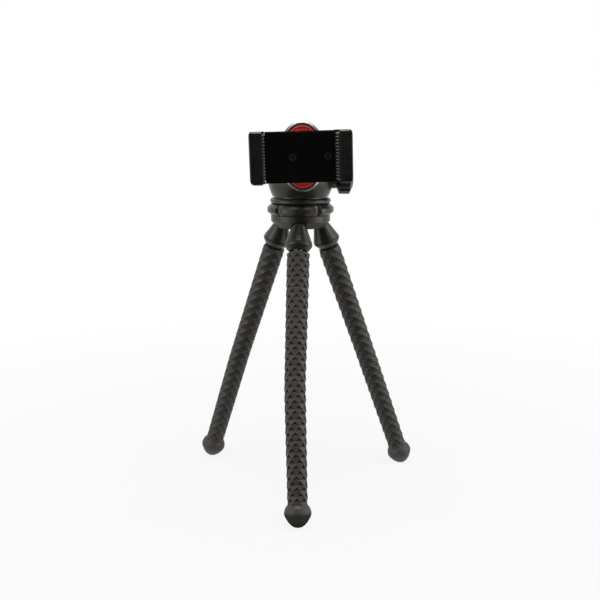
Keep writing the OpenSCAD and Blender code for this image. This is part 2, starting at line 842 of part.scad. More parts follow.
// A rubber foot: its ball and a flared collar
module foot(i) {
    color(rubber) difference() {
        at_lower(i) difference() {
            translate([0, 0, lower_len]) {
                rotate([0, lower_lean - 180, 0]) foot_ball();
                mirror([0, 0, 1]) turned([
                    [0, 0], [foot_r - edge, 0], [(leg_end_r + foot_r) / 2, foot_flare_share * foot_collar],
                    [leg_end_r + edge / 2, foot_collar], [0, foot_collar]
                ]);
            }
            cylinder(r = core_r + fit, h = lower_len + fit);
            translate([0, 0, bend_half]) cylinder(
                r1 = knee_r + fit, r2 = leg_end_r + fit, h = lower_len - foot_cut - bend_half + fit);
        }
        block([-2 * lower_len, -2 * lower_len, -foot_d], [2 * lower_len, 2 * lower_len, 0]);
    }
}

hub_base();
hub_cap();
pan_bolt();
pan_nut();
socket_screws();
socket(0);  // socket_front
socket(1);  // socket_left
socket(2);  // socket_right
core_root(0);  // core_root_front
core_root(1);  // core_root_left
core_root(2);  // core_root_right
lock_ring();
pan_plate();
ball_housing();
ball_seat();
seat_spacer();
brake_shoe();
housing_screws();
lock_knob();
knob_screw();
knob_cap();
ball_stem();
platform_rim();
platform_pad();
camera_screw();
clamp_back();
clamp_insert();
clamp_front();
rod_guide();
clamp_screws();
fixed_jaw();
fixed_grip();
moving_jaw();
moving_grip();
jaw_slide();
guide_rods();
pull_springs();
bend_root(0);  // bend_root_front
core_upper(0);  // core_upper_front
sleeve_upper(0);  // sleeve_upper_front
bend_knee(0);  // bend_knee_front
core_lower(0);  // core_lower_front
sleeve_lower(0);  // sleeve_lower_front
foot(0);  // foot_front
bend_root(1);  // bend_root_left
core_upper(1);  // core_upper_left
sleeve_upper(1);  // sleeve_upper_left
bend_knee(1);  // bend_knee_left
core_lower(1);  // core_lower_left
sleeve_lower(1);  // sleeve_lower_left
foot(1);  // foot_left
bend_root(2);  // bend_root_right
core_upper(2);  // core_upper_right
sleeve_upper(2);  // sleeve_upper_right
bend_knee(2);  // bend_knee_right
core_lower(2);  // core_lower_right
sleeve_lower(2);  // sleeve_lower_right
foot(2);  // foot_right
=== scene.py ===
import json
import math

import bmesh
import bpy
from mathutils import Matrix, Vector

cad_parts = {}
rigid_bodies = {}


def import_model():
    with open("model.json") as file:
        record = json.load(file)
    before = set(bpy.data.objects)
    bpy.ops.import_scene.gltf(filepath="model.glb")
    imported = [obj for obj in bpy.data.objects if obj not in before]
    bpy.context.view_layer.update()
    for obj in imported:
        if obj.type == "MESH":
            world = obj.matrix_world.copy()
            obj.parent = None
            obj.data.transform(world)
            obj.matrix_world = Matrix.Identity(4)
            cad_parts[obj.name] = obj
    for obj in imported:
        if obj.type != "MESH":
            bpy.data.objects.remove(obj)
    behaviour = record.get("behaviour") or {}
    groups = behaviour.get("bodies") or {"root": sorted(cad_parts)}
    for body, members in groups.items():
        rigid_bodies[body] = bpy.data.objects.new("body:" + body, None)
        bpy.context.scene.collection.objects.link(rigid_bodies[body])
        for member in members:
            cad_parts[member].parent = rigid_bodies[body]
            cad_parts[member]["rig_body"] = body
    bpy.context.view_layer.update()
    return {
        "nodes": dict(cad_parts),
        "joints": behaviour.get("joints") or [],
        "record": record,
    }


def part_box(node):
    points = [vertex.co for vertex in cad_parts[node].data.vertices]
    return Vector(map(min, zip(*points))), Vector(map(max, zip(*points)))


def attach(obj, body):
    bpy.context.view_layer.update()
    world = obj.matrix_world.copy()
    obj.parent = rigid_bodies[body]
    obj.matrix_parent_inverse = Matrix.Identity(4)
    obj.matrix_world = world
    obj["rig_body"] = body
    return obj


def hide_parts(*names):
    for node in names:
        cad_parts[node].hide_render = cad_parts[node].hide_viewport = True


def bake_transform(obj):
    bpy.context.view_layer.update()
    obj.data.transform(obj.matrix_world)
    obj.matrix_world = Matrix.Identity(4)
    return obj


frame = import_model()

# Sizes are in metres, and the small ones are millimetres times MM. Points closer than SAME are one point.
MM = 0.001
SAME = 1e-6
SIDES = ("front", "left", "right")

# The most that a rounded corner takes of each edge beside it
CORNER_SHARE = 0.48

# The camera, which turns round the hub's upright axis, with its angles in degrees
CAMERA_DISTANCE = 631.48 * MM
CAMERA_HEIGHT = 259.44 * MM
CAMERA_AZIMUTH = -2.579
CAMERA_YAW = 0.035
CAMERA_PITCH = 10.994
CAMERA_LENS = 52.747
CAMERA_SENSOR = 36
CAMERA_NEAR = 0.01
CAMERA_FAR = 50

# The white room and its floor, which fades from grey to white between two distances from the middle
ROOM_LIGHT = 0.36
FLOOR_R = 0.9
FLOOR_SINK = 0.05 * MM
FLOOR_GREY = (0.6, 0.6, 0.6, 1)
FLOOR_WHITE = 0.88
FADE_START = 0.1
FADE_END = 0.6
LIGHT_TARGET = (0, 0, 0.15)

# The legs' sleeves, which get thinner from the top to the knee and the end, and their moulded scales
TOP_R = 8.15 * MM
KNEE_R = 7.55 * MM
END_R = 6.95 * MM
CORE_R = 3.5 * MM
BEND_HALF = 8 * MM
SLEEVE_GAP = 0.8 * MM
SLEEVE_TUCK = 2 * MM
SLEEVE_END = ((0.35 * MM, 0.93), (0.75 * MM, 0.84))
SLEEVE_CLOSE = 0.8 * MM
SCALES_ROUND = 8
SCALE_POINTS = 4
SCALE_STEP = 2 * math.pi / SCALES_ROUND
SCALE_ROW = 3.65 * MM
SCALE_DEPTH = 0.75 * MM
TIP_AT = 0.3
PIT_AT = 0.72
PIT_HALF = 0.26 * SCALE_STEP
PIT_DEPTH = 1.3 * MM
CORNER_DEPTH = 0.2 * MM

# The feet
FOOT_R = 9.25 * MM
FOOT_CUT = 0.9 * MM
FOOT_COLLAR = 6.4 * MM

# The sockets
SOCKET_GAP = 0.9 * MM
SOCKET_R = 9.75 * MM
SOCKET_MOUTH_R = 7.2 * MM
SOCKET_BEVEL = 4.3 * MM
SOCKET_CONE = 13.4 * MM
SOCKET_NECK_R = 5.2 * MM
SOCKET_NECK = 4.2 * MM

# The lock ring
RING_R = 23.8 * MM
RING_BORE = 9.6 * MM
RING_BEVEL_W = 2.7 * MM
RING_BEVEL_H = 2.4 * MM
RING_LOBES = 5
RING_STEPS = 720
NOTCH_TURN = math.radians(11)
NOTCH_R = 3.36 * MM
NOTCH_DEPTH = 1.9 * MM
NOTCH_SOFT = 0.5 * MM

# The lock knob, whose face stays a little inside its box
KNOB_SHORT = 0.9 * MM
KNOB_BORE_R = 2.6 * MM
KNOB_BEVEL_W = 4.8 * MM
KNOB_BEVEL_H = 2.3 * MM
KNOB_STEPS = 240
FLUTES = 12
FLUTE_HALF = math.radians(8.5)
FLUTE_DEPTH = 0.9 * MM
FLUTE_REACH = 3.5 * MM
CAP_R = 6.35 * MM
CAP_SEAT_R = 6.5 * MM
CAP_DEPTH = 1 * MM

# The camera platform: its silver rim, the groove inside it, and the pad with its dots
CLAMP_LEAN = 1.6
RIM_W = 1.8 * MM
RIM_BEVEL = 0.9 * MM
RIM_INSIDE = 11 * MM
GROOVE_W = 0.5 * MM
GROOVE_DEPTH = 2.4 * MM
GROOVE_FLOOR = 0.9 * MM
PAD_DROP = 0.3 * MM
DOT_PITCH = 1.9 * MM
DOT_R = 0.46 * MM
DOT_RISE = 0.32 * MM
DOT_PROFILE = ((1, 0), (0.85, 0.55), (0.55, 1))
DOT_SIDES = 8
DOT_BORDER = 0.9 * MM
DOT_FIELD = 1.6 * MM

# The clamp's jaws, with the rounding of their edges as shares of the largest one
CLAMP_SHIFT = -2 * MM
LIP_REACH = 8.4 * MM
LIP_CHAMFER = 1.1 * MM
JAW_ROUND = 3.2 * MM
LOWER_CORNER = 1.0
UPPER_CORNER = 0.75
OUTER_EDGE = 0.3
OTHER_EDGE = 0.04

# The grips' ribs
RIB_PITCH = 2.1 * MM
RIB_DEPTH = 1.5 * MM
RIB_STEPS = 8
RIB_FULLNESS = 1.2
GRIP_EDGE_H = 0.5 * MM
GRIP_EDGE_W = 0.4 * MM

# The tension springs
SPRING_R = 2 * MM
WIRE_R = 0.35 * MM
WIRE_SIDES = 6
COIL_TURNS = 34
COIL_STEPS = 14

# The casings that keep their CAD shape: the angle of a sharp edge in degrees, and the rounding of each
SHARP = 30
HUB_EDGE = 0.3 * MM
CASING_EDGES = (("ball_housing", 0.35 * MM), ("pan_plate", 0.2 * MM), ("clamp_front", 0.5 * MM),
                ("clamp_back", 0.3 * MM), ("hub_cap", 0.25 * MM))

# The slightly warm gloss of the black plastics and rubbers, and how much the red pad reflects
WARM_GLOSS = (1, 0.95, 0.84, 1)
PLASTIC_SPECULAR = 0.42
PAD_SPECULAR = 0.25

# The textures: how many patches a metre holds, the part of their range in use, and the range of the lightened
# edges, which are rubbed wear and, on the grips' rib crests, a painted highlight
CLOUDS = 90
GLOSS_PATCHES = 240
METAL_LINES = 900
PATCH_LOW = 0.3
PATCH_HIGH = 0.7
WEAR_AND_HIGHLIGHT_LOW = 0.52
WEAR_AND_HIGHLIGHT_HIGH = 0.62
GRAIN_STRENGTH = 0.5
LINE_STRENGTH = 0.4

joints = {j["name"]: j for j in frame["joints"]}
mounts = {m["name"]: Vector(m["pos_m"]) for m in frame["record"]["mounts"]}
slot_of = {s["node"]: s["material_slot"] for s in frame["record"]["subparts"]}
hub_at = Vector(joints["head_pan"]["pos_m"])
ball_at = Vector(joints["ball_tilt"]["pos_m"])
knob_at = Vector(joints["knob_turn"]["pos_m"])


# Materials

def shader(name, colour, roughness, metallic=0.0):
    """A material with its node tree and its Principled shader, set to plain values."""
    material = bpy.data.materials.new(name)
    material.use_nodes = True
    principled = material.node_tree.nodes["Principled BSDF"]
    principled.inputs["Base Color"].default_value = (*colour, 1)
    principled.inputs["Roughness"].default_value = roughness
    principled.inputs["Metallic"].default_value = metallic
    return material, material.node_tree, principled


def place_of(tree, stretch=(1, 1, 1)):
    """The object's own coordinates, in metres, stretched along each axis."""
    where = tree.nodes.new("ShaderNodeTexCoord")
    mapping = tree.nodes.new("ShaderNodeMapping")
    mapping.inputs["Scale"].default_value = stretch
    tree.links.new(where.outputs["Object"], mapping.inputs["Vector"])
    return mapping.outputs["Vector"]


def noise_at(tree, scale, detail=3.0, stretch=(1, 1, 1)):
    """A cloudy value from 0 to 1."""
    texture = tree.nodes.new("ShaderNodeTexNoise")
    texture.inputs["Scale"].default_value = scale
    texture.inputs["Detail"].default_value = detail
    tree.links.new(place_of(tree, stretch), texture.inputs["Vector"])
    return texture.outputs["Fac"]


def spread(tree, value, low, high, start=PATCH_LOW, end=PATCH_HIGH):
    """Maps a value that runs from start to end onto low to high."""
    node = tree.nodes.new("ShaderNodeMapRange")
    node.inputs["From Min"].default_value = start
    node.inputs["From Max"].default_value = end
    node.inputs["To Min"].default_value = low
    node.inputs["To Max"].default_value = high
    tree.links.new(value, node.inputs["Value"])
    return node.outputs["Result"]


def combine(tree, operation, a, b):
    """One value from two."""
    node = tree.nodes.new("ShaderNodeMath")
    node.operation = operation
    tree.links.new(a, node.inputs[0])
    tree.links.new(b, node.inputs[1])
    return node.outputs[0]


def vary_colour(tree, principled, value, dark, light):
    """Runs the base colour from dark to light with a cloudy value."""
    ramp = tree.nodes.new("ShaderNodeValToRGB")
    ramp.color_ramp.elements[0].position = PATCH_LOW
    ramp.color_ramp.elements[0].color = (*dark, 1)
    ramp.color_ramp.elements[1].position = PATCH_HIGH
    ramp.color_ramp.elements[1].color = (*light, 1)
    tree.links.new(value, ramp.inputs["Fac"])
    tree.links.new(ramp.outputs["Color"], principled.inputs["Base Color"])
    return ramp


def colour_over(tree, principled, ramp, mask, colour):
    """Lays one colour over the ramp's, as far as the mask lets it."""
    mix = tree.nodes.new("ShaderNodeMix")
    mix.data_type = "RGBA"
    mix.inputs["B"].default_value = (*colour, 1)
    tree.links.new(mask, mix.inputs["Factor"])
    tree.links.new(ramp.outputs["Color"], mix.inputs["A"])
    tree.links.new(mix.outputs["Result"], principled.inputs["Base Color"])


def wear_and_highlight_edges(tree, principled, ramp, colour, amount):
    """Lightens convex edges: rubbed wear, and on the grips' rib crests a painted highlight."""
    geometry = tree.nodes.new("ShaderNodeNewGeometry")
    mask = spread(tree, geometry.outputs["Pointiness"], 0.0, amount, WEAR_AND_HIGHLIGHT_LOW, WEAR_AND_HIGHLIGHT_HIGH)
    colour_over(tree, principled, ramp, mask, colour)


def bump(tree, principled, height, strength, distance):
    """A fine relief that only the light sees."""
    node = tree.nodes.new("ShaderNodeBump")
    node.inputs["Strength"].default_value = strength
    node.inputs["Distance"].default_value = distance
    tree.links.new(height, node.inputs["Height"])
    tree.links.new(node.outputs["Normal"], principled.inputs["Normal"])


def moulded(name, dark, light, rough, grain, depth, wear_and_highlight_colour, wear_and_highlight_amount):
    """A moulded plastic or rubber: clouded colour, uneven gloss, a fine grain and lightened edges, which are
    rubbed wear and, on the grips, a painted highlight.
    """
    material, tree, principled = shader(name, light, rough[0])
    principled.inputs["Specular Tint"].default_value = WARM_GLOSS
    principled.inputs["Specular IOR Level"].default_value = PLASTIC_SPECULAR
    ramp = vary_colour(tree, principled, noise_at(tree, CLOUDS, 4), dark, light)
    wear_and_highlight_edges(tree, principled, ramp, wear_and_highlight_colour, wear_and_highlight_amount)
    gloss = spread(tree, noise_at(tree, GLOSS_PATCHES, 5), *rough)
    tree.links.new(gloss, principled.inputs["Roughness"])
    bump(tree, principled, noise_at(tree, grain, 2), GRAIN_STRENGTH, depth)
    return material


def metal(name, dark, light, rough, stretch, depth):
    """A metal with fine lines along one direction."""
    material, tree, principled = shader(name, light, rough[0], 1.0)
    lines = noise_at(tree, METAL_LINES, 3, stretch)
    vary_colour(tree, principled, lines, dark, light)
    tree.links.new(spread(tree, lines, *rough), principled.inputs["Roughness"])
    bump(tree, principled, lines, LINE_STRENGTH, depth)
    return material


def body_plastic():
    return moulded("body_plastic", dark=(0.012, 0.0114, 0.01), light=(0.017, 0.016, 0.0142),
                   rough=(0.26, 0.36), grain=2600, depth=0.02 * MM, wear_and_highlight_colour=(0.05, 0.049, 0.046), wear_and_highlight_amount=0.4)


def black_plastic():
    return moulded("black_plastic", dark=(0.0016, 0.0015, 0.0014), light=(0.0028, 0.0027, 0.0025),
                   rough=(0.12, 0.18), grain=3000, depth=0.004 * MM, wear_and_highlight_colour=(0.012, 0.012, 0.012), wear_and_highlight_amount=0.3)


def black_satin():
    return moulded("black_satin", dark=(0.0042, 0.0039, 0.0036), light=(0.0064, 0.006, 0.0056),
                   rough=(0.3, 0.4), grain=2800, depth=0.01 * MM, wear_and_highlight_colour=(0.03, 0.029, 0.027), wear_and_highlight_amount=0.3)


def leg_rubber():
    return moulded("leg_rubber", dark=(0.013, 0.0122, 0.0113), light=(0.022, 0.0208, 0.0195),
                   rough=(0.4, 0.55), grain=1900, depth=0.05 * MM, wear_and_highlight_colour=(0.09, 0.086, 0.081), wear_and_highlight_amount=0.6)


def foot_rubber():
    return moulded("foot_rubber", dark=(0.03, 0.0285, 0.027), light=(0.04, 0.038, 0.036),
                   rough=(0.42, 0.55), grain=2300, depth=0.02 * MM, wear_and_highlight_colour=(0.08, 0.077, 0.073), wear_and_highlight_amount=0.5)


def grip_rubber():
    # The grips' pale edge colour is a painted highlight on their rib crests, where the lamps catch them.
    return moulded("grip_rubber", dark=(0.016, 0.016, 0.016), light=(0.024, 0.024, 0.0245),
                   rough=(0.3, 0.42), grain=2300, depth=0.02 * MM, wear_and_highlight_colour=(0.26, 0.26, 0.26), wear_and_highlight_amount=0.8)


def pad_rubber():
    """Red rubber, pale on the tops of its dots, which stand at the platform's front: partly dust and wear,
    partly a painted highlight of their sheen.
    """
    material, tree, principled = shader("pad_rubber", (0.3, 0.006, 0.008), 0.5)
    principled.inputs["Specular IOR Level"].default_value = PAD_SPECULAR
    clouds = noise_at(tree, CLOUDS, 4)
    ramp = vary_colour(tree, principled, clouds, dark=(0.38, 0.003, 0.005), light=(0.5, 0.005, 0.008))
    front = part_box("platform_pad")[0].y
    parts = tree.nodes.new("ShaderNodeSeparateXYZ")
    tree.links.new(place_of(tree), parts.inputs["Vector"])
    # Painted highlight, with some dust and wear: the dots' tops are coloured pale pink.
    mask = spread(tree, parts.outputs["Y"], 1.0, 0.0, front + 0.1 * DOT_RISE, front + 0.7 * DOT_RISE)
    colour_over(tree, principled, ramp, mask, (0.9, 0.32, 0.3))
    gloss = spread(tree, noise_at(tree, GLOSS_PATCHES, 5), 0.45, 0.58)
    tree.links.new(gloss, principled.inputs["Roughness"])
    bump(tree, principled, noise_at(tree, 2100, 2), GRAIN_STRENGTH, 0.03 * MM)
    return material


def bright_metal():
    return metal("bright_metal", dark=(0.5, 0.5, 0.49), light=(0.62, 0.62, 0.61), rough=(0.24, 0.32),
                 stretch=(1, 1, 6), depth=0.001 * MM)


def steel():
    return metal("steel", dark=(0.5, 0.5, 0.51), light=(0.64, 0.64, 0.65), rough=(0.22, 0.34),
                 stretch=(0.3, 4, 4), depth=0.006 * MM)


def black_steel():
    return moulded("black_steel", dark=(0.003, 0.003, 0.003), light=(0.006, 0.006, 0.006),
                   rough=(0.2, 0.3), grain=2800, depth=0.006 * MM, wear_and_highlight_colour=(0.03, 0.03, 0.03), wear_and_highlight_amount=0.3)


def core_metal():
    return metal("core_metal", dark=(0.5, 0.5, 0.5), light=(0.62, 0.62, 0.63), rough=(0.35, 0.5),
                 stretch=(4, 4, 0.3), depth=0.01 * MM)


def brass():
    return metal("brass", dark=(0.55, 0.36, 0.13), light=(0.68, 0.47, 0.19), rough=(0.24, 0.34),
                 stretch=(4, 1, 4), depth=0.006 * MM)


def white_plastic():
    return moulded("white_plastic", dark=(0.7, 0.7, 0.68), light=(0.78, 0.78, 0.76),
                   rough=(0.36, 0.46), grain=2000, depth=0.02 * MM, wear_and_highlight_colour=(0.85, 0.85, 0.83), wear_and_highlight_amount=0.4)


MAKERS = (body_plastic, black_plastic, black_satin, leg_rubber, foot_rubber, grip_rubber, pad_rubber,
          bright_metal, steel, black_steel, core_metal, brass, white_plastic)
materials = {make.__name__: make() for make in MAKERS}


def dress_nodes():
    """Gives every CAD node its slot's material."""
    for name, node in frame["nodes"].items():
        for material_slot in node.material_slots:
            material_slot.material = materials[slot_of[name]]


# Mesh tools

def new_object(name, bm):
    """Puts a bmesh into the scene as an object."""
    mesh = bpy.data.meshes.new(name)
    bm.to_mesh(mesh)
    bm.free()
    obj = bpy.data.objects.new(name, mesh)
    bpy.context.scene.collection.objects.link(obj)
    return obj


def shade(bm, sharp_over):
    """Smooths the faces, and keeps every edge sharp whose angle, in degrees, is over a limit."""
    for face in bm.faces:
        face.smooth = True
    for edge in bm.edges:
        edge.smooth = not (edge.is_manifold and edge.calc_face_angle(0) > math.radians(sharp_over))


def piece(name, bm, slot, body, stands_for, sharp_over, finish=None):
    """Turns a bmesh into a piece of the object with its finish, its body and the nodes it stands for."""
    bmesh.ops.recalc_face_normals(bm, faces=bm.faces)
    shade(bm, sharp_over)
    obj = new_object(name, bm)
    obj.data.materials.append(materials[finish or slot])
    if body:
        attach(obj, body)
    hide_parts(*stands_for)
    return obj


def axes_at(origin, x, y, z):
    """A matrix with its origin at a point and its axes along three directions."""
    return Matrix.Translation(origin) @ Matrix((x, y, z)).transposed().to_4x4()


def box_in(node, matrix):
    """A CAD node's lowest and highest corners, measured along the axes of a leaning matrix."""
    back = matrix.inverted()
    points = [back @ v.co for v in frame["nodes"][node].data.vertices]
    low = Vector([min(p[k] for p in points) for k in range(3)])
    high = Vector([max(p[k] for p in points) for k in range(3)])
    return low, high


def curve(start, corner, end, t):
    """The point at a share of the way along the curve that rounds a corner off."""
    return start * (1 - t) ** 2 + corner * (2 * t * (1 - t)) + end * t ** 2


def rounded(corners, steps=4):
    """An outline through corners of (across, up, rounding), where a rounding takes under half of an edge."""
    outline = []
    for k, (across, up, rounding) in enumerate(corners):
        here = Vector((across, up))
        if not rounding:
            outline.append(here)
            continue
        back = Vector(corners[k - 1][:2]) - here
        ahead = Vector(corners[(k + 1) % len(corners)][:2]) - here
        most = CORNER_SHARE * min(back.length, ahead.length)
        reach = min(rounding / math.tan(back.angle(ahead) / 2), most)
        start = here + back.normalized() * reach
        end = here + ahead.normalized() * reach
        outline += [curve(start, here, end, step / steps) for step in range(steps + 1)]
    return [(p.x, p.y) for p in outline]


def join_rings(bm, a, b):
    """Closes the band between two rings of as many points."""
    for k in range(len(a)):
        n = (k + 1) % len(a)
        bm.faces.new((a[k], a[n], b[n], b[k]))


def lathe(outline, matrix, turns=96, radius_at=None):
    """Revolves an outline of (radius, height) about the matrix's Z axis.

    radius_at, where it is given, says what a radius becomes at an angle.
    """
    bm = bmesh.new()
    rings = []
    for k in range(turns):
        angle = 2 * math.pi * k / turns
        ring = []
        for radius, height in outline:
            r = radius_at(radius, angle) if radius_at else radius
            ring.append(bm.verts.new(matrix @ Vector((r * math.cos(angle), r * math.sin(angle), height))))
        rings.append(ring)
    for k in range(turns):
        a, b = rings[k], rings[(k + 1) % turns]
        for j in range(len(outline)):
            i = (j + 1) % len(outline)
            if outline[j][0] > 0 or outline[i][0] > 0:
                bm.faces.new((a[j], a[i], b[i], b[j]))
    bmesh.ops.remove_doubles(bm, verts=bm.verts, dist=SAME)
    return bm


def softened(node, width, finish=None):
    """A copy of a CAD node with its sharp edges rounded, which stands for the node."""
    source = frame["nodes"][node]
    bm = bmesh.new()
    bm.from_mesh(source.data)
    bmesh.ops.remove_doubles(bm, verts=bm.verts, dist=2 * SAME)
    bmesh.ops.dissolve_limit(bm, angle_limit=math.radians(1), verts=bm.verts, edges=bm.edges)
    sharp = [e for e in bm.edges if e.is_manifold and e.calc_face_angle(0) > math.radians(SHARP)]
    bmesh.ops.bevel(bm, geom=sharp, offset=width, segments=2, profile=0.5, affect="EDGES", clamp_overlap=True)
    obj = piece("soft_" + node, bm, slot_of[node], source["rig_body"], [node], sharp_over=SHARP, finish=finish)
    modifier = obj.modifiers.new("flat_faces", "WEIGHTED_NORMAL")
    modifier.keep_sharp = True
    modifier.weight = 100


# Legs

class Leg:
    """The route of one leg, from its top under the socket down to its foot, with a frame at each point."""

    def __init__(self, side):
        self.root = Vector(joints["leg_root_" + side]["pos_m"])
        self.knee = Vector(joints["leg_knee_" + side]["pos_m"])
        self.foot = mounts["floor_rest_" + side] + Vector((0, 0, FOOT_R - FOOT_CUT))
        self.upper_len = (self.knee - self.root).length
        self.lower_len = (self.foot - self.knee).length
        self.upper = (self.knee - self.root).normalized()
        self.lower = (self.foot - self.knee).normalized()
        self.out = Vector(joints["leg_root_" + side]["axis"]).cross(self.upper).normalized()

    def at(self, s):
        """The point, the outward and the sideways direction and the radius, at a distance below the root."""
        past = s - self.upper_len
        if past <= -BEND_HALF:
            point, way = self.root + self.upper * s, self.upper
        elif past >= BEND_HALF:
            point, way = self.knee + self.lower * past, self.lower
        else:
            t = (past / BEND_HALF + 1) / 2
            start, end = self.knee - self.upper * BEND_HALF, self.knee + self.lower * BEND_HALF
            point = curve(start, self.knee, end, t)
            way = (self.upper * (1 - t) + self.lower * t).normalized()
        out = self.upper.rotation_difference(way) @ self.out
        return point, out, way.cross(out), self.radius(s)

    def radius(self, s):
        """The sleeve's radius, which shrinks a little down to the knee and on to the foot."""
        stations = ((BEND_HALF, TOP_R), (self.upper_len - BEND_HALF, KNEE_R),
                    (self.upper_len + BEND_HALF, KNEE_R), (self.upper_len + self.lower_len, END_R))
        if s <= BEND_HALF:
            return TOP_R
        for (s0, r0), (s1, r1) in zip(stations, stations[1:]):
            if s <= s1:
                return r0 + (r1 - r0) * (s - s0) / (s1 - s0)
        return END_R

    def matrix(self, s):
        """A frame at a distance below the root with its Z up along the leg."""
        point, out, side, _ = self.at(s)
        return axes_at(point, out, -side, out.cross(-side))


def scale_rows(leg):
    """The distances of the lines between rows of scales, from the socket to inside the foot."""
    start = SLEEVE_GAP - BEND_HALF
    end = leg.upper_len + leg.lower_len - FOOT_COLLAR + SLEEVE_TUCK
    rows = 2 * round((end - start) / SCALE_ROW / 2)
    return [start + (end - start) * k / rows for k in range(rows + 1)]


def sleeve_point(bm, leg, s, angle, sink):
    """A point of the sleeve, at an angle from the outward direction and a depth below the scales' tips."""
    centre, out, across, radius = leg.at(s)
    return bm.verts.new(centre + (out * math.cos(angle) + across * math.sin(angle)) * (radius - sink))


def scale_line(bm, leg, s, shift):
    """Four points for each scale that ends on this line: three at its pit's foot, and its corner."""
    points = []
    for k in range(SCALES_ROUND):
        middle = (k + shift) * SCALE_STEP
        for angle in (middle - PIT_HALF, middle, middle + PIT_HALF):
            points.append(sleeve_point(bm, leg, s, angle, SCALE_DEPTH))
        points.append(sleeve_point(bm, leg, s, middle + SCALE_STEP / 2, CORNER_DEPTH))
    return points


def scale_faces(bm, tip, pit, above, below):
    """The faces of one scale, which fan out from its tip to the lines above and below, and into its pit."""
    for a, b in zip(above, above[1:]):
        bm.faces.new((a, b, tip))
    bm.faces.new((above[4], below[0], tip))
    bm.faces.new((below[0], below[1], tip))
    bm.faces.new((below[1], pit, tip))
    bm.faces.new((below[1], below[2], pit))
    bm.faces.new((below[2], below[3], pit))
    bm.faces.new((below[3], tip, pit))
    bm.faces.new((below[3], below[4], tip))
    bm.faces.new((below[4], above[0], tip))


def sleeve(leg, lines, first, last):
    """Rows of scales between two lines, each turned half a scale from the last. Also returns both lines."""
    bm = bmesh.new()
    rows = {j: scale_line(bm, leg, lines[j], 0.5 * ((j - 1) % 2)) for j in range(first, last + 1)}
    count = SCALE_POINTS * SCALES_ROUND
    for j in range(first, last):
        height = lines[j + 1] - lines[j]
        for k in range(SCALES_ROUND):
            angle = (k + 0.5 * (j % 2)) * SCALE_STEP
            tip = sleeve_point(bm, leg, lines[j] + TIP_AT * height, angle, 0)
            pit = sleeve_point(bm, leg, lines[j] + PIT_AT * height, angle, PIT_DEPTH)
            own = SCALE_POINTS * k + 1
            corner = own + (2 if j % 2 else -2)
            above = [rows[j][(corner + d) % count] for d in (-2, -1, 0, 1, 2)]
            below = [rows[j + 1][(own + d) % count] for d in (2, 1, 0, -1, -2)]
            scale_faces(bm, tip, pit, above, below)
    return bm, rows[first], rows[last]


def close_sleeve(bm, leg, ring, s, way):
    """Rounds a sleeve's end over and closes it down to the core."""
    centre = leg.at(s)[0]
    previous = ring
    for reach, share in SLEEVE_END:
        inner = leg.at(s + way * reach)[0]
        ahead = [bm.verts.new(inner + (v.co - centre) * share) for v in ring]
        join_rings(bm, previous, ahead)
        previous = ahead
    inner = leg.at(s + way * SLEEVE_CLOSE)[0]
    hole = [bm.verts.new(inner + (v.co - centre).normalized() * CORE_R) for v in ring]
    join_rings(bm, previous, hole)


def build_upper_sleeve(side, leg, lines, last):
    """The sleeve from the socket to half way down the upper stretch, in place of the root's bend and the upper
    sleeve.
    """
    bm, top, _ = sleeve(leg, lines, 0, last)
    close_sleeve(bm, leg, top, lines[0], -1)
    upper = piece("leg_upper_" + side, bm, "leg_rubber", None, ["bend_root_" + side, "sleeve_upper_" + side],
                  sharp_over=1)
    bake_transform(upper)


def build_lower_sleeve(side, leg, lines, first):
    """The rest of the sleeve, which bends at the knee and ends inside the foot."""
    bm, _, end = sleeve(leg, lines, first, len(lines) - 1)
    close_sleeve(bm, leg, end, lines[-1], 1)
    lower = piece("leg_lower_" + side, bm, "leg_rubber", None, ["bend_knee_" + side, "sleeve_lower_" + side],
                  sharp_over=1)
    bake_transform(lower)


def build_foot(side, leg):
    """A rubber foot: a collar round the leg, a full shoulder, a tapering lower half and a flat sole."""
    corners = [
        (END_R - 0.9 * MM, 5.4 * MM, 0),
        (END_R - 0.5 * MM, 6.1 * MM, 0.3 * MM),
        (END_R + 0.1 * MM, 5.7 * MM, 0.4 * MM),
        (FOOT_R - 0.75 * MM, 3.7 * MM, 1.5 * MM),
        (FOOT_R - 0.12 * MM, 1.4 * MM, 1.2 * MM),
        (FOOT_R - 0.02 * MM, 0, 0.8 * MM),
        (FOOT_R - 0.3 * MM, -1 * MM, 0.8 * MM),
        (FOOT_R - 0.75 * MM, -2.1 * MM, 1 * MM),
        (6.6 * MM, -5.3 * MM, 2 * MM),
        (4.6 * MM, -7.4 * MM, 1.5 * MM),
        (2.8 * MM, -8.6 * MM, 1 * MM),
        (0, -FOOT_R, 0),
        (0, 0, 0),
    ]
    bm = lathe(rounded(corners, 5), leg.matrix(leg.upper_len + leg.lower_len))
    cut = bmesh.ops.bisect_plane(bm, geom=bm.verts[:] + bm.edges[:] + bm.faces[:], plane_co=(0, 0, 0),
                                 plane_no=(0, 0, -1), clear_outer=True, dist=1e-7)
    sole = [e for e in cut["geom_cut"] if isinstance(e, bmesh.types.BMEdge)]
    bmesh.ops.holes_fill(bm, edges=sole)
    piece("rubber_foot_" + side, bm, "foot_rubber", "lower_" + side, ["foot_" + side], sharp_over=28)


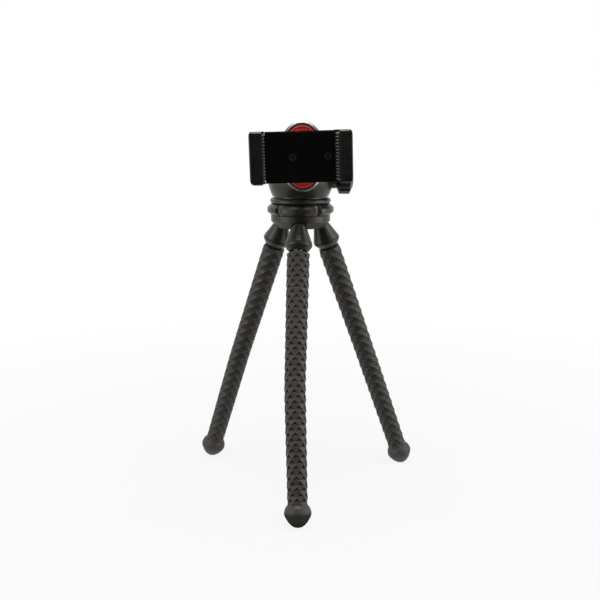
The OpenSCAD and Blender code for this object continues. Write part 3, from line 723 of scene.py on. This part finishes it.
def build_socket(side, leg):
    """A socket: a long cone, a groove line over its widest part, and a bevelled open end."""
    wide = SOCKET_GAP + SOCKET_BEVEL
    top = wide + SOCKET_CONE
    corners = [
        (CORE_R + 0.1 * MM, SOCKET_GAP + 3 * MM, 0),
        (SOCKET_MOUTH_R - 1.2 * MM, SOCKET_GAP + 2.6 * MM, 0.4 * MM),
        (SOCKET_MOUTH_R - 0.9 * MM, SOCKET_GAP, 0.3 * MM),
        (SOCKET_MOUTH_R, SOCKET_GAP, 0.35 * MM),
        (SOCKET_R - 0.35 * MM, wide - 1.3 * MM, 0.6 * MM),
        (SOCKET_R, wide - 0.3 * MM, 0.4 * MM),
        (SOCKET_R, wide + 0.35 * MM, 0.3 * MM),
        (SOCKET_R - 0.55 * MM, wide + 0.55 * MM, 0.12 * MM),
        (SOCKET_R - 0.55 * MM, wide + 0.85 * MM, 0.12 * MM),
        (SOCKET_R - 0.1 * MM, wide + 1.1 * MM, 0.4 * MM),
        (SOCKET_NECK_R, top, 0),
        (SOCKET_NECK_R, top + SOCKET_NECK, 0.3 * MM),
        (CORE_R + 0.1 * MM, top + SOCKET_NECK, 0),
    ]
    bm = lathe(rounded(corners), leg.matrix(-BEND_HALF))
    piece("leg_socket_" + side, bm, "body_plastic", "hub", ["socket_" + side], sharp_over=28)


def build_leg(side):
    leg = Leg(side)
    lines = scale_rows(leg)
    middle = min(range(len(lines)), key=lambda j: abs(lines[j] - leg.upper_len / 2))
    build_upper_sleeve(side, leg, lines, middle)
    build_lower_sleeve(side, leg, lines, middle)
    build_foot(side, leg)
    build_socket(side, leg)


# Head

def notched(r, angle):
    """The ring's radius at an angle: the notches are round cuts whose edges are softened."""
    step = 2 * math.pi / RING_LOBES
    centre = RING_R + NOTCH_R - NOTCH_DEPTH
    off = (angle - NOTCH_TURN + step / 2) % step - step / 2
    aside = centre * math.sin(off)
    if abs(aside) >= NOTCH_R:
        return r
    cut = centre * math.cos(off) - math.sqrt(NOTCH_R ** 2 - aside ** 2)
    blend = max(NOTCH_SOFT - abs(r - cut), 0) / NOTCH_SOFT
    return min(r, cut) - blend ** 2 * NOTCH_SOFT / 4


def build_ring():
    """The lock ring: deep bevels and wide lobes between lens-shaped notches."""
    low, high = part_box("lock_ring")
    height = high.z - low.z
    corners = [
        (RING_BORE, 0, 0.3 * MM),
        (RING_R - RING_BEVEL_W, 0, 0.4 * MM),
        (RING_R, RING_BEVEL_H, 0.35 * MM),
        (RING_R, height - RING_BEVEL_H, 0.35 * MM),
        (RING_R - RING_BEVEL_W, height, 0.4 * MM),
        (RING_BORE, height, 0.3 * MM),
    ]
    matrix = Matrix.Translation((hub_at.x, hub_at.y, low.z))
    bm = lathe(rounded(corners), matrix, RING_STEPS, notched)
    piece("ring_with_lobes", bm, "body_plastic", "lock_ring", ["lock_ring"], sharp_over=24)


def knob_matrix(x):
    """A frame on the knob's axis, with its Z along the axis and its X upright."""
    return axes_at((x, knob_at.y, knob_at.z), x=(0, 0, 1), y=(0, -1, 0), z=(1, 0, 0))


def build_knob():
    """The lock knob: a bevelled wheel with soft flutes round it and a cap in its face."""
    low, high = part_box("lock_knob")
    radius = (high.z - low.z) / 2
    thick = high.x - low.x - KNOB_SHORT

    def fluted(r, angle):
        if r < radius - FLUTE_REACH:
            return r
        off = angle % (2 * math.pi / FLUTES) - math.pi / FLUTES
        share = max(0.0, 1 - (off / FLUTE_HALF) ** 2)
        return min(r, radius - FLUTE_DEPTH * share)

    corners = [
        (KNOB_BORE_R, 0, 0),
        (radius - KNOB_BEVEL_W, 0, 0.6 * MM),
        (radius, KNOB_BEVEL_H, 0.7 * MM),
        (radius, thick - KNOB_BEVEL_H, 0.7 * MM),
        (radius - KNOB_BEVEL_W, thick, 0.6 * MM),
        (CAP_SEAT_R, thick, 0.2 * MM),
        (CAP_SEAT_R - 0.05 * MM, thick - CAP_DEPTH, 0),
        (KNOB_BORE_R, thick - CAP_DEPTH, 0),
    ]
    bm = lathe(rounded(corners), knob_matrix(low.x), KNOB_STEPS, fluted)
    piece("fluted_knob", bm, "black_plastic", "knob", ["lock_knob"], sharp_over=30, finish="black_satin")
    build_knob_cap(low.x + thick - CAP_DEPTH)


def build_knob_cap(x):
    """The flat cap in the knob's face."""
    corners = [
        (0, 0.2 * MM, 0),
        (CAP_R, 0.2 * MM, 0),
        (CAP_R, CAP_DEPTH, 0.25 * MM),
        (0, CAP_DEPTH, 0),
    ]
    bm = lathe(rounded(corners), knob_matrix(x))
    piece("knob_face", bm, "black_plastic", "knob", ["knob_cap"], sharp_over=30)


# Platform

def platform_matrix():
    """A frame that leans with the platform, at the ball's centre: X to the right, Y up and Z to the front."""
    lean = math.radians(CLAMP_LEAN)
    x = Vector((math.cos(lean), 0, math.sin(lean)))
    y = Vector((-math.sin(lean), 0, math.cos(lean)))
    return axes_at(ball_at, x, y, Vector((0, -1, 0)))


def oval(matrix, half_w, half_h, outline, capped=False, turns=128):
    """Sweeps an outline of (distance in from the oval's edge, height) round an oval.

    The outline is closed into a ring, or else the oval is capped at the outline's two ends.
    """
    bm = bmesh.new()
    rings = []
    for k in range(turns):
        angle = 2 * math.pi * k / turns
        edge = Vector((half_w * math.cos(angle), half_h * math.sin(angle), 0))
        normal = Vector((half_h * math.cos(angle), half_w * math.sin(angle), 0)).normalized()
        places = [edge - normal * inset + Vector((0, 0, z)) for inset, z in outline]
        rings.append([bm.verts.new(matrix @ place) for place in places])
    for k in range(turns):
        a, b = rings[k], rings[(k + 1) % turns]
        for j in range(len(outline) - 1 if capped else len(outline)):
            i = (j + 1) % len(outline)
            bm.faces.new((a[j], a[i], b[i], b[j]))
    if capped:
        bm.faces.new([r[0] for r in rings])
        bm.faces.new([r[-1] for r in reversed(rings)])
    return bm


def build_rim(matrix):
    """The silver rim, with its wide bevel and the groove inside it."""
    low, high = box_in("platform_rim", matrix)
    pad_back = box_in("platform_pad", matrix)[0].z
    corners = [
        (RIM_INSIDE, low.z, 0),
        (0.6 * MM, low.z, 0.2 * MM),
        (0, low.z + 0.6 * MM, 0.2 * MM),
        (0, high.z - RIM_BEVEL, 0.35 * MM),
        (RIM_W - 0.35 * MM, high.z, 0.25 * MM),
        (RIM_W, high.z - 0.3 * MM, 0.1 * MM),
        (RIM_W, high.z - GROOVE_DEPTH, 0),
        (RIM_W + GROOVE_FLOOR, high.z - GROOVE_DEPTH, 0),
        (RIM_W + GROOVE_FLOOR, pad_back, 0),
        (RIM_INSIDE, pad_back, 0),
    ]
    bm = oval(matrix, high.x, high.y, rounded(corners))
    piece("silver_rim", bm, "bright_metal", "clamp", ["platform_rim"], sharp_over=40)


def build_pad(matrix):
    """The red pad inside the groove, a little low in it, with its raised dots."""
    low, high = box_in("platform_pad", matrix)
    rim = box_in("platform_rim", matrix)[1]
    half_w = rim.x - RIM_W - GROOVE_W
    half_h = rim.y - RIM_W - GROOVE_W - PAD_DROP
    on_pad = matrix @ Matrix.Translation((0, -PAD_DROP, 0))
    floor = high.z - DOT_RISE
    corners = [
        (0, low.z, 0),
        (0, floor - 0.3 * MM, 0.2 * MM),
        (0.3 * MM, floor, 0.2 * MM),
        (1.2 * MM, floor, 0),
    ]
    bm = oval(on_pad, half_w, half_h, rounded(corners), capped=True)
    dot_rows(bm, on_pad, half_w - DOT_FIELD, half_h - DOT_FIELD, floor)
    dot_border(bm, on_pad, half_w - DOT_BORDER, half_h - DOT_BORDER, floor)
    piece("red_pad", bm, "pad_rubber", "clamp", ["platform_pad"], sharp_over=30)


def dot(bm, matrix, x, y, floor):
    """One raised dot of the pad."""
    rings = []
    for share, rise in DOT_PROFILE:
        ring = []
        for k in range(DOT_SIDES):
            angle = k * 2 * math.pi / DOT_SIDES
            place = Vector((x + share * DOT_R * math.sin(angle), y + share * DOT_R * math.cos(angle),
                            floor + rise * DOT_RISE))
            ring.append(bm.verts.new(matrix @ place))
        rings.append(ring)
    join_rings(bm, rings[0], rings[1])
    join_rings(bm, rings[1], rings[2])
    bm.faces.new(rings[2])
    bm.faces.new(list(reversed(rings[0])))


def dot_rows(bm, matrix, half_w, half_h, floor):
    """Staggered rows of dots over an oval."""
    pitch = DOT_PITCH * math.sqrt(3) / 2
    rows = int(half_h / pitch) + 1
    columns = int(half_w / DOT_PITCH) + 1
    for row in range(-rows, rows + 1):
        for column in range(-columns, columns + 1):
            x = (column + 0.5 * (row % 2)) * DOT_PITCH
            y = row * pitch
            if ((abs(x) + DOT_R) / half_w) ** 2 + ((abs(y) + DOT_R) / half_h) ** 2 <= 1:
                dot(bm, matrix, x, y, floor)


def dot_border(bm, matrix, half_w, half_h, floor):
    """One row of dots along an oval."""
    count = round(2 * math.pi * math.sqrt((half_w ** 2 + half_h ** 2) / 2) / DOT_PITCH)
    for k in range(count):
        angle = 2 * math.pi * k / count
        dot(bm, matrix, half_w * math.cos(angle), half_h * math.sin(angle), floor)


# Clamp

def extruded(matrix, outline, low, high):
    """Extrudes an outline of (X, Z) along the matrix's Y axis, as quads between two caps."""
    bm = bmesh.new()
    bottom = [bm.verts.new(matrix @ Vector((x, low, z))) for x, z in outline]
    top = [bm.verts.new(matrix @ Vector((x, high, z))) for x, z in outline]
    join_rings(bm, bottom, top)
    bm.faces.new(bottom)
    bm.faces.new(list(reversed(top)))
    return bm


def chamfer_lip(bm, back, front):
    """Cuts the upper and lower edge of a jaw's lip, at its front."""
    ends = [e for e in bm.edges if all(abs((back @ v.co).z - front) < SAME for v in e.verts)
            and abs((back @ e.verts[0].co).y - (back @ e.verts[1].co).y) < SAME]
    bmesh.ops.bevel(bm, geom=ends, offset=LIP_CHAMFER, segments=1, affect="EDGES")


def weigh_edges(bm, back, out):
    """Says how far each edge of a jaw is rounded: most at the corners of its outer side."""
    weight = bm.edges.layers.float.new("bevel_weight_edge")
    for edge in bm.edges:
        a, b = (back @ v.co for v in edge.verts)
        at_out = abs(a.x - out) < SAME and abs(b.x - out) < SAME
        if at_out and abs(a.z - b.z) > SAME:
            edge[weight] = LOWER_CORNER if a.y < 0 else UPPER_CORNER
        elif at_out:
            edge[weight] = OUTER_EDGE
        else:
            edge[weight] = OTHER_EDGE


def build_jaw(matrix, side, jaw, grip, body, name):
    """A jaw: a block, a side wall and a front lip in one C. side is 1 for the right jaw, -1 for the left."""
    low, high = box_in(jaw, matrix)
    grip_low, grip_high = box_in(grip, matrix)
    out = high.x if side > 0 else low.x
    inner = low.x if side > 0 else high.x
    wall = grip_high.x if side > 0 else grip_low.x
    lip = out - side * LIP_REACH
    outline = [(inner, low.z), (out, low.z), (out, high.z), (lip, high.z), (lip, grip_high.z),
               (wall, grip_high.z), (wall, grip_low.z), (inner, grip_low.z)]
    bm = extruded(matrix, outline, low.y, high.y)
    back = matrix.inverted()
    chamfer_lip(bm, back, high.z)
    weigh_edges(bm, back, out)
    obj = piece(name, bm, "black_plastic", body, [jaw], sharp_over=180, finish="black_satin")
    modifier = obj.modifiers.new("rounds", "BEVEL")
    modifier.limit_method = "WEIGHT"
    modifier.width = JAW_ROUND
    modifier.segments = 5
    modifier.use_clamp_overlap = False
    modifier.harden_normals = True


def rib_profile(low, high, crest, side):
    """The ribs' outline of (X, Y) along a grip's face."""
    ribs = round((high.y - low.y) / RIB_PITCH)
    profile = []
    for k in range(ribs * RIB_STEPS + 1):
        y = low.y + (high.y - low.y) * k / (ribs * RIB_STEPS)
        phase = (k % RIB_STEPS) / RIB_STEPS
        rise = 1 - abs(2 * phase - 1) ** RIB_FULLNESS
        profile.append((crest + side * RIB_DEPTH * (1 - rise), y))
    return profile


def build_grip(matrix, side, grip, body, name):
    """A rubber grip with rounded ribs across the phone's edge."""
    low, high = box_in(grip, matrix)
    wall = high.x if side > 0 else low.x
    crest = low.x if side > 0 else high.x
    profile = rib_profile(low, high, crest, side)
    bm = bmesh.new()
    rings = []
    for z, inset in ((low.z, 0), (high.z - GRIP_EDGE_H, 0), (high.z, GRIP_EDGE_W)):
        ring = [bm.verts.new(matrix @ Vector((wall, low.y, z)))]
        ring += [bm.verts.new(matrix @ Vector((x + side * inset, y, z))) for x, y in profile]
        ring.append(bm.verts.new(matrix @ Vector((wall, high.y, z))))
        rings.append(ring)
    join_rings(bm, rings[0], rings[1])
    join_rings(bm, rings[1], rings[2])
    bm.faces.new(rings[0])
    bm.faces.new(list(reversed(rings[2])))
    piece(name, bm, "grip_rubber", body, [grip], sharp_over=50)


def wire_ring(bm, matrix, centre, out, across):
    """The points round a wire at one step of its coil."""
    ring = []
    for k in range(WIRE_SIDES):
        angle = 2 * math.pi * k / WIRE_SIDES
        way = out * math.cos(angle) + across * math.sin(angle)
        ring.append(bm.verts.new(matrix @ (centre + way * WIRE_R)))
    return ring


def coil(matrix, x, y, z, length):
    """An unbroken coil of wire along the matrix's X axis."""
    bm = bmesh.new()
    total = COIL_TURNS * COIL_STEPS
    radius = SPRING_R - WIRE_R
    climb = length / total * COIL_STEPS / (2 * math.pi)
    previous = None
    for k in range(total + 1):
        angle = 2 * math.pi * k / COIL_STEPS
        out = Vector((0, math.cos(angle), math.sin(angle)))
        centre = Vector((x + length * k / total, y, z)) + out * radius
        along = Vector((climb, -math.sin(angle) * radius, math.cos(angle) * radius))
        ring = wire_ring(bm, matrix, centre, out, along.normalized().cross(out))
        if previous:
            join_rings(bm, previous, ring)
        else:
            bm.faces.new(ring)
        previous = ring
    bm.faces.new(list(reversed(previous)))
    return bm


def build_springs(matrix):
    """Two tension springs, which run between the clamp and the sprung jaw."""
    low, high = box_in("pull_springs", matrix)
    z = (low.z + high.z) / 2
    for sign, label in ((-1, "lower"), (1, "upper")):
        y = sign * (high.y - SPRING_R)
        bm = coil(matrix, low.x + WIRE_R, y, z, high.x - low.x - 2 * WIRE_R)
        obj = piece("coil_spring_" + label, bm, "steel", None, ["pull_springs"], sharp_over=80)
        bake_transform(obj)


def build_clamp():
    """The platform and, shifted a little to its left, the jaws, grips and springs."""
    matrix = platform_matrix()
    build_rim(matrix)
    build_pad(matrix)
    clamp = matrix @ Matrix.Translation((CLAMP_SHIFT, 0, 0))
    build_jaw(clamp, 1, "fixed_jaw", "fixed_grip", "clamp", "jaw_right")
    build_jaw(clamp, -1, "moving_jaw", "moving_grip", "moving_jaw", "jaw_left")
    build_grip(clamp, 1, "fixed_grip", "clamp", "ribs_right")
    build_grip(clamp, -1, "moving_grip", "moving_jaw", "ribs_left")
    build_springs(clamp)


def build_casings():
    """The casings whose shape the CAD already holds, with softer edges."""
    # The base takes the darker black_satin finish in place of its slot's plastic: painted shade, as it lies in
    # the ring's shadow.
    softened("hub_base", HUB_EDGE, finish="black_satin")
    for node, width in CASING_EDGES:
        softened(node, width)


def build_object():
    """Every piece, from the feet up to the clamp."""
    dress_nodes()
    for side in SIDES:
        build_leg(side)
    build_ring()
    build_knob()
    build_clamp()
    build_casings()


# Stage

def build_camera():
    azimuth = math.radians(CAMERA_AZIMUTH)
    data = bpy.data.cameras.new("camera")
    data.lens = CAMERA_LENS
    data.sensor_width = CAMERA_SENSOR
    data.clip_start = CAMERA_NEAR
    data.clip_end = CAMERA_FAR
    camera = bpy.data.objects.new("camera", data)
    camera.location = (hub_at.x + CAMERA_DISTANCE * math.sin(azimuth),
                       hub_at.y - CAMERA_DISTANCE * math.cos(azimuth),
                       CAMERA_HEIGHT)
    camera.rotation_euler = (math.radians(90 - CAMERA_PITCH), 0, math.radians(CAMERA_AZIMUTH + CAMERA_YAW))
    bpy.context.scene.collection.objects.link(camera)
    bpy.context.scene.camera = camera


def seen_directly(tree):
    """1 for camera, glossy and transmission rays."""
    path = tree.nodes.new("ShaderNodeLightPath")
    either = combine(tree, "MAXIMUM", path.outputs["Is Camera Ray"], path.outputs["Is Glossy Ray"])
    return combine(tree, "MAXIMUM", either, path.outputs["Is Transmission Ray"])


def build_world():
    """A room that looks white, and lights the object less than it looks."""
    world = bpy.data.worlds.new("studio")
    bpy.context.scene.world = world
    world.use_nodes = True
    tree = world.node_tree
    background = tree.nodes["Background"]
    background.inputs["Color"].default_value = (1, 1, 1, 1)
    tree.links.new(spread(tree, seen_directly(tree), ROOM_LIGHT, 1.0, 0, 1), background.inputs["Strength"])


def floor_material():
    """Grey where shadows fall on it, mixed with more and more plain white away from the object."""
    material = bpy.data.materials.new("floor")
    material.use_nodes = True
    tree = material.node_tree
    tree.nodes.clear()
    diffuse = tree.nodes.new("ShaderNodeBsdfDiffuse")
    diffuse.inputs["Color"].default_value = FLOOR_GREY
    white = tree.nodes.new("ShaderNodeEmission")
    where = tree.nodes.new("ShaderNodeTexCoord")
    distance = tree.nodes.new("ShaderNodeVectorMath")
    distance.operation = "LENGTH"
    tree.links.new(where.outputs["Object"], distance.inputs[0])
    fade = spread(tree, distance.outputs["Value"], FLOOR_WHITE, 1.0, FADE_START, FADE_END)
    mix = tree.nodes.new("ShaderNodeMixShader")
    output = tree.nodes.new("ShaderNodeOutputMaterial")
    tree.links.new(combine(tree, "MULTIPLY", fade, seen_directly(tree)), mix.inputs["Fac"])
    tree.links.new(diffuse.outputs[0], mix.inputs[1])
    tree.links.new(white.outputs[0], mix.inputs[2])
    tree.links.new(mix.outputs[0], output.inputs["Surface"])
    return material


def build_floor():
    """A round pale floor that takes the object's shadow and fades into the white background."""
    bm = bmesh.new()
    bmesh.ops.create_circle(bm, cap_ends=True, segments=96, radius=FLOOR_R)
    floor = new_object("floor", bm)
    floor.location.z = -FLOOR_SINK
    floor.data.materials.append(floor_material())


def softbox(name, place, width, height, power):
    """A rectangular lamp that faces the middle of the object."""
    data = bpy.data.lights.new(name, "AREA")
    data.shape = "RECTANGLE"
    data.size = width
    data.size_y = height
    data.energy = power
    light = bpy.data.objects.new(name, data)
    light.location = place
    light.rotation_euler = (Vector(LIGHT_TARGET) - Vector(place)).to_track_quat("-Z", "Y").to_euler()
    bpy.context.scene.collection.objects.link(light)


def build_lights():
    softbox("left_box", place=(-0.75, -0.3, 0.24), width=0.5, height=1.0, power=2.8)
    softbox("right_box", place=(0.75, -0.2, 0.26), width=0.5, height=1.0, power=3.8)
    softbox("top_box", place=(0.0, -0.1, 0.95), width=0.45, height=0.45, power=4)


def dark_panel(name, width, height, place, turn=0, side_turn=0):
    """A dark panel that only reflections see, which keeps the white room out of the front of the object."""
    bm = bmesh.new()
    bmesh.ops.create_grid(bm, x_segments=1, y_segments=1, size=0.5)
    bmesh.ops.scale(bm, verts=bm.verts, vec=(width, height, 1))
    bmesh.ops.rotate(bm, verts=bm.verts, matrix=Matrix.Rotation(math.radians(turn), 3, "X"))
    panel = new_object(name, bm)
    panel.location = place
    panel.rotation_euler.z = math.radians(side_turn)
    panel.visible_camera = False
    panel.visible_diffuse = False
    panel.visible_shadow = False
    material, tree, principled = shader(name, (0.004, 0.004, 0.004), 1.0)
    vary_colour(tree, principled, noise_at(tree, 4), (0.003, 0.003, 0.003), (0.005, 0.005, 0.005))
    panel.data.materials.append(material)


def build_flags():
    """One panel before the clamp's dark plate, one on the floor before it, and two beside the silver rim."""
    dark_panel("front_flag", width=1.0, height=1.1, place=(-0.03, -0.95, 0.2), turn=90)
    dark_panel("floor_flag", width=0.5, height=0.9, place=(-0.01, -0.5, 0.001))
    for label, sign in (("left", -1), ("right", 1)):
        place = (ball_at.x + sign * 0.088, -0.03, 0.31)
        dark_panel("rim_flag_" + label, width=0.11, height=0.1, place=place, turn=90, side_turn=90)


build_camera()
build_world()
build_floor()
build_lights()
build_flags()
build_object()

scene = bpy.context.scene
scene.view_settings.view_transform = "Standard"
